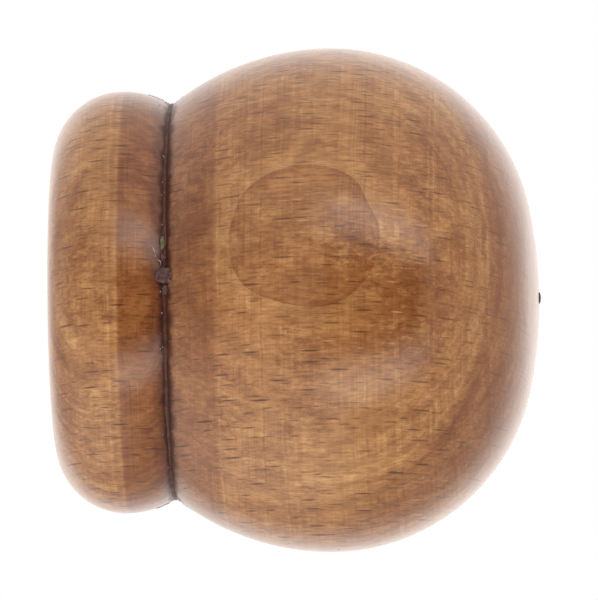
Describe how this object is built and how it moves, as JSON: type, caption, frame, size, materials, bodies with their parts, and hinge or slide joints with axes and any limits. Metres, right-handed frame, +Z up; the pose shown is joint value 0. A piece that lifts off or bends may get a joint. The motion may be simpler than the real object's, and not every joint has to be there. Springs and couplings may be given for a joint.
{
  "type": "curtain pole finial",
  "caption": "Turned wooden ball finial with a bead collar and V groove; a blind socket fits the end of a curtain pole and a side lock screw holds it.",
  "frame": {"origin": "centre of the collar's end face, in the mouth of the pole socket", "axes": "+X along the turning axis from the collar's end face to the nose of the ball, +Z up, +Y towards the wall, where the lock screw is"},
  "size_m": [0.053, 0.055, 0.055],
  "materials": {
    "stained_beech": "stained and lacquered, satin gloss",
    "brass": "machined",
    "steel": "zinc plated"
  },
  "bodies": {
    "finial": {"finial_body": "stained_beech", "screw_insert": "brass"},
    "screw": {"lock_screw": "steel"}
  },
  "joints": [
    {"name": "lock_screw_travel", "type": "slide", "parent": "finial", "child": "screw", "axis": [0, -1, 0], "range_m": [-0.0011, 0.0016]}
  ]
}
